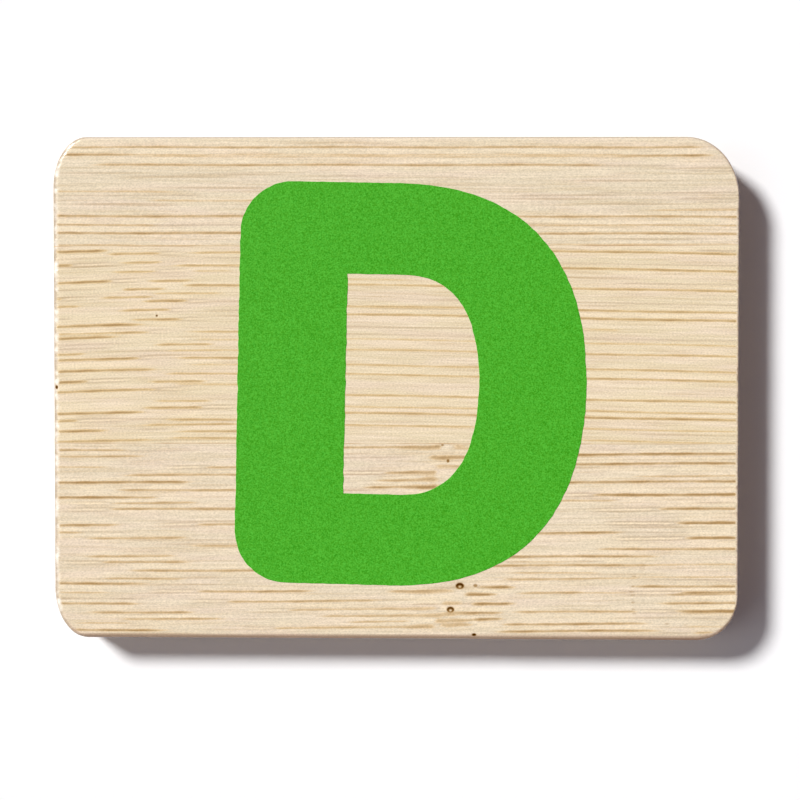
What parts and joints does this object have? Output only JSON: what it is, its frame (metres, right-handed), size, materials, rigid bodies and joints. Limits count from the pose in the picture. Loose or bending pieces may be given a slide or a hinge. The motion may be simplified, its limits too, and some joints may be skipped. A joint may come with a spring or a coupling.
{
  "type": "toy train letter tile",
  "caption": "Flat round-cornered bamboo tile with a printed capital letter, for spelling names on a toy train.",
  "frame": {"origin": "middle of the back face, on the surface that the tile lies on", "axes": "+X along the tile as the letter is read, +Y up the letter, +Z from the back to the printed face"},
  "size_m": [0.068, 0.05, 0.0061],
  "materials": {
    "front_bamboo": "sanded bamboo, satin lacquer",
    "core_bamboo": "sawn and sanded bamboo end grain",
    "back_bamboo": "sanded bamboo, satin lacquer",
    "letter_ink": "screen-printed green ink"
  },
  "bodies": {
    "root": {"front_strip_1": "front_bamboo", "front_strip_2": "front_bamboo", "front_strip_3": "front_bamboo", "core_strip_1": "core_bamboo", "core_strip_2": "core_bamboo", "core_strip_3": "core_bamboo", "core_strip_4": "core_bamboo", "back_strip_1": "back_bamboo", "back_strip_2": "back_bamboo", "back_strip_3": "back_bamboo", "letter_print": "letter_ink"}
  },
  "joints": []
}
